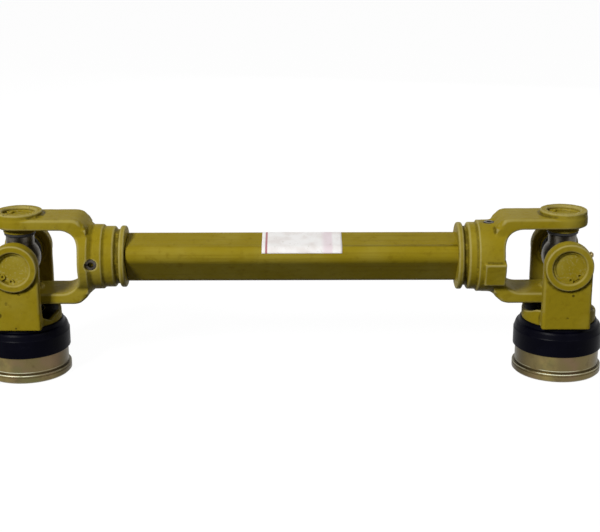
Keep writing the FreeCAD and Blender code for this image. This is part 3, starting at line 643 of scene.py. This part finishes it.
def mark_gap_shade(mesh, side):
    """Vertex values for the near-black painted shade in the bottom of an end yoke's fork gap, kept in the
    attribute named grease.
    """
    points, _, pairs = mesh_arrays(mesh)
    x, y, z = (points - (side * HALF, 0, AXIS)).T
    values = between(z, -AXIS, GAP_SHADE_TOP, soft=0.0030) * between(np.abs(y), 0, GAP_SHADE_WIDE, soft=0.0020)
    values *= between(np.hypot(x, y), 0, GAP_SHADE_R, soft=0.0012)
    set_values(mesh, "grease", spread(values, pairs, 4))


def smooth_neck(mesh, side):
    """Let a tube yoke's arms run softly into its hub."""
    points, _, pairs = mesh_arrays(mesh)
    along = np.abs(points[:, 0] - side * HALF)
    away = np.abs(points[:, 2] - AXIS)
    neck = between(along, *NECK_ALONG, soft=0.0040) * between(away, *NECK_AWAY, soft=0.0025)
    for axis in range(3):
        even = spread(points[:, axis], pairs, NECK_ROUNDS)
        points[:, axis] += (even - points[:, axis]) * neck
    move_points(mesh, points)


def mark_edges(mesh):
    """Vertex values: how much a place stands out as an edge, and how deep it lies in a corner."""
    points, normals, pairs = mesh_arrays(mesh)
    step = points[pairs[:, 1]] - points[pairs[:, 0]]
    size = np.linalg.norm(step, axis=1) + 1e-9
    bend = np.zeros(len(points))
    count = np.zeros(len(points))
    for end, sign in ((0, 1), (1, -1)):
        turn = sign * (normals[pairs[:, end]] * step).sum(axis=1) / size
        bend += np.bincount(pairs[:, end], weights=turn, minlength=len(points))
        count += np.bincount(pairs[:, end], minlength=len(points))
    bend = spread(bend / np.maximum(count, 1), pairs, 3)
    bend *= 1 - EAR_FOOT_CALM * ear_foot_zone(points)
    for name, values, rounds in (("edge", -bend, 2), ("crease", bend, 10)):
        values = spread(np.clip(values, 0, None), pairs, rounds)
        set_values(mesh, name, np.clip(values / (np.percentile(values, 99) + 1e-9), 0, 1))


def ear_foot_zone(points):
    """1 round the foot of an end yoke's ears, where edges are marked less."""
    height = between(points[:, 2] - AXIS, *EAR_FOOT_HEIGHTS, soft=0.0020)
    return height * between(np.abs(points[:, 1]), *EAR_FOOT_PLACES, soft=0.0010)


def press_in(mesh, dents):
    """Push small round dents into a mesh, each with a place, a width and a depth in metres."""
    points, normals, _ = mesh_arrays(mesh)
    depth = np.zeros(len(points))
    for place, wide, deep in dents:
        away = np.linalg.norm(points - np.array(place), axis=1)
        depth += deep * np.exp(-2 * (away / wide) ** 2)
    move_points(mesh, points - normals * depth[:, None])


def make_uneven(copy):
    """Let the skin swell and sink a little, in broad and in small waves."""
    for size, height in SWELLS:
        clouds = bpy.data.textures.new("clouds", "CLOUDS")
        clouds.noise_scale = size
        swell = copy.modifiers.new("uneven", "DISPLACE")
        swell.texture = clouds
        swell.texture_coords = "LOCAL"
        swell.strength = height
        swell.mid_level = 1.0
        bpy.ops.object.modifier_apply(modifier="uneven")


def forge(name, body, side):
    """Replace a yoke with a dense copy that looks forged."""
    copy = merged_copy(name, "forged_")
    if name in GAP_DIPS:
        fillings = (gap_saddle(side, GAP_DIPS[name]), ear_foot(side, -1), ear_foot(side, 1))
    else:
        fillings = (plug(side),)
    select_only(copy, *fillings)
    bpy.ops.object.join()
    make_skin(copy)
    if name in GAP_DIPS:
        mark_gap_shade(copy.data, side)
    else:
        smooth_neck(copy.data, side)
    mark_edges(copy.data)
    press_in(copy.data, DENTS.get(name, ()))
    make_uneven(copy)
    coat(copy, MATERIALS["forged"])
    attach(copy, body)
    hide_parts(name)


# Turned and moving copies

TUBE_TURN = 40.0
CIRCLIP_TURN = 180.0


def turned_copy(name, body, centre, axis, degrees, material):
    """Show a CAD node turned about an axis, as its own merged copy."""
    def turn(mesh):
        matrix = Matrix.Rotation(math.radians(degrees), 3, axis)
        bmesh.ops.rotate(mesh, verts=mesh.verts, cent=centre, matrix=matrix)

    copy = merged_copy(name, "turned_")
    edit_mesh(copy, turn)
    coat(copy, material)
    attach(copy, body)
    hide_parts(name)


def short_spring(side):
    """Show a collar's spring as its own merged copy on the end yoke, with a mesh of its own."""
    name = "collar_spring_" + side
    spring = merged_copy(name, "sprung_")
    coat(spring, MATERIALS["steel"])
    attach(spring, "end_yoke_" + side)
    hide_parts(name)
    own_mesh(spring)


# Sticker: two arcs round the lobes of the turned tube, each a lobe and its first and last degree

LOBE_OUT = 0.0148
LOBE_R = 0.0100
LABEL_ARCS = ((0, 55, 100), (1, 100, 158))
LABEL_STEPS = 9
LABEL_PIECES = 40
LABEL_LIFT = 0.00016
LABEL_THICK = 0.00012
LABEL_START = -0.0274
LABEL_LONG = 0.0747


def label_path():
    """Places round the tube under the sticker, as Y and Z."""
    radius = LOBE_R + LABEL_LIFT
    places = []
    for lobe, start, end in LABEL_ARCS:
        middle = math.radians(TUBE_TURN + 120 * lobe)
        for step in range(LABEL_STEPS + 1):
            angle = math.radians(start + (end - start) * step / LABEL_STEPS)
            y = LOBE_OUT * math.cos(middle) + radius * math.cos(angle)
            z = LOBE_OUT * math.sin(middle) + radius * math.sin(angle)
            places.append((y, AXIS + z))
    return places


def face_up(mesh):
    """Turn the sticker's faces away from the tube."""
    bmesh.ops.recalc_face_normals(mesh, faces=mesh.faces)
    if sum(face.normal.z for face in mesh.faces) < 0:
        bmesh.ops.reverse_faces(mesh, faces=mesh.faces)


def sticker():
    """Blank white sticker wrapped over the tube."""
    path = label_path()
    select_only()
    bpy.ops.mesh.primitive_grid_add(x_subdivisions=LABEL_PIECES, y_subdivisions=len(path) - 1, size=1)
    label = bpy.context.object
    label.name = "blank_label"
    for vertex in label.data.vertices:
        y, z = path[round((vertex.co.y + 0.5) * (len(path) - 1))]
        vertex.co = (LABEL_START + (vertex.co.x + 0.5) * LABEL_LONG, y, z)
    edit_mesh(label, face_up)
    skin = label.modifiers.new("skin", "SOLIDIFY")
    skin.thickness = LABEL_THICK
    skin.offset = -1
    bpy.ops.object.modifier_apply(modifier="skin")
    for face in label.data.polygons:
        face.use_smooth = True
    label.data.materials.append(MATERIALS["label"])
    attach(label, "outer_half")


# Dressing the nodes

LOOKS = {
    "cup": "cups",
    "circlip": "cups",
    "locking_collar": "zinc",
    "grip_ring": "ring",
    "seal": "seal",
    "lock_ball": "balls",
    "grease_nipple": "nipple",
}


def look_of(name):
    """Material of a node; one that isn't a tube, a yoke or in LOOKS is oiled steel."""
    if name in TUBES:
        return MATERIALS["tube"]
    if name in YOKES:
        return MATERIALS["paint"]
    for start, look in LOOKS.items():
        if name.startswith(start):
            return MATERIALS[look]
    return MATERIALS["steel"]


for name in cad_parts:
    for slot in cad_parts[name].material_slots:
        slot.material = look_of(name)
    if name in TUBES:
        turned_copy(name, TUBES[name], (0, 0, AXIS), "X", TUBE_TURN, MATERIALS["tube"])
    elif name in YOKES:
        forge(name, *YOKES[name])

turned_copy("circlip_left_front", "end_yoke_left", LEFT_JOINT, "Y", CIRCLIP_TURN, MATERIALS["cups"])
for side in SIDES:
    short_spring(side)
sticker()


# Floor, backdrop, lamps and camera

SEEN_RAYS = ("Is Camera Ray", "Is Glossy Ray", "Is Transmission Ray")
FLOOR_SIZE = 12
FLOOR_LIT = (0.06, 0.06, 0.06, 1)
FLOOR_SEEN = 0.97
WORLD_LIT = 0.06
WORLD_SEEN = 1.0
WHITE = (1, 1, 1, 1)
LAMP_AIM = (0, 0, 0.1)
LENS = 81.17
SENSOR = 36
DOWN = math.radians(16.55)
YAW = math.radians(-0.067)
ROLL = math.radians(-0.122)
CAMERA_AIM = (0.00812, 0, AXIS - 0.01015)
CAMERA_AWAY = 1.2806


def seen_rays(tree):
    """1 for rays that show a picture: from the camera, in reflections and through clear parts."""
    rays = tree.node("ShaderNodeLightPath").outputs
    camera, mirror, clear = (Value(tree, rays[name]) for name in SEEN_RAYS)
    return camera.math("MAXIMUM", mirror).math("MAXIMUM", clear)


def pick_by_rays(tree, lit, seen):
    """One shader for light and another for what shows in the picture."""
    pick = tree.node("ShaderNodeMixShader", sockets={0: seen_rays(tree), 1: lit, 2: seen})
    return pick.outputs[0]


def empty_tree(owner):
    """Node tree of a material or world, emptied first."""
    owner.use_nodes = True
    owner.node_tree.nodes.clear()
    return Tree(owner.node_tree)


def make_floor():
    """Floor that looks white, throws little light back and keeps the object's shadow."""
    select_only()
    bpy.ops.mesh.primitive_plane_add(size=FLOOR_SIZE, location=(0, 0, 0))
    floor = bpy.context.object
    floor.name = "studio_floor"
    material = bpy.data.materials.new("studio_floor")
    tree = empty_tree(material)
    lit = tree.node("ShaderNodeBsdfDiffuse", sockets={"Color": FLOOR_LIT}).outputs[0]
    glow = tree.node("ShaderNodeEmission", sockets={"Strength": FLOOR_SEEN}).outputs[0]
    seen = tree.node("ShaderNodeAddShader", sockets={0: lit, 1: glow}).outputs[0]
    tree.node("ShaderNodeOutputMaterial", sockets={"Surface": pick_by_rays(tree, lit, seen)})
    floor.data.materials.append(material)


def make_world():
    """Backdrop that looks white and gives a weak even light."""
    world = bpy.data.worlds.new("studio")
    bpy.context.scene.world = world
    tree = empty_tree(world)
    lit, seen = (
        tree.node("ShaderNodeBackground", sockets={"Color": WHITE, "Strength": strength}).outputs[0]
        for strength in (WORLD_LIT, WORLD_SEEN)
    )
    tree.node("ShaderNodeOutputWorld", sockets={"Surface": pick_by_rays(tree, lit, seen)})


def area_light(name, place, size, power, mirrored=True):
    """Rectangular lamp aimed at the object; mirrored says whether shiny parts show it."""
    data = bpy.data.lights.new(name, "AREA")
    data.shape = "RECTANGLE"
    data.size, data.size_y = size
    data.energy = power
    lamp = bpy.data.objects.new(name, data)
    bpy.context.scene.collection.objects.link(lamp)
    lamp.visible_glossy = mirrored
    lamp.location = place
    lamp.rotation_euler = (Vector(LAMP_AIM) - Vector(place)).to_track_quat("-Z", "Y").to_euler()


def make_camera():
    """Camera that sees the shaft as the photograph does, from in front and a little above."""
    forward = Vector((-math.sin(YAW) * math.cos(DOWN), math.cos(YAW) * math.cos(DOWN), -math.sin(DOWN)))
    right = Vector((math.cos(YAW), math.sin(YAW), 0))
    up = right.cross(forward)
    turn = Matrix((right, up, -forward)).transposed() @ Matrix.Rotation(ROLL, 3, "Z")
    data = bpy.data.cameras.new("camera")
    data.lens = LENS
    data.sensor_width = SENSOR
    data.clip_start = 0.05
    camera = bpy.data.objects.new("camera", data)
    bpy.context.scene.collection.objects.link(camera)
    camera.matrix_world = Matrix.Translation(Vector(CAMERA_AIM) - forward * CAMERA_AWAY) @ turn.to_4x4()
    bpy.context.scene.camera = camera


bpy.context.scene.view_settings.view_transform = "Standard"
make_floor()
make_world()
make_camera()
area_light("key", place=(-1.6, -2.4, 2.1), size=(0.8, 0.8), power=120)
area_light("fill", place=(1.3, -1.6, 1.5), size=(1.0, 0.8), power=6)
area_light("back", place=(0.4, 1.6, 0.6), size=(1.2, 0.8), power=10, mirrored=False)
area_light("top", place=(0.0, 0.2, 1.5), size=(1.6, 0.5), power=1.5, mirrored=False)
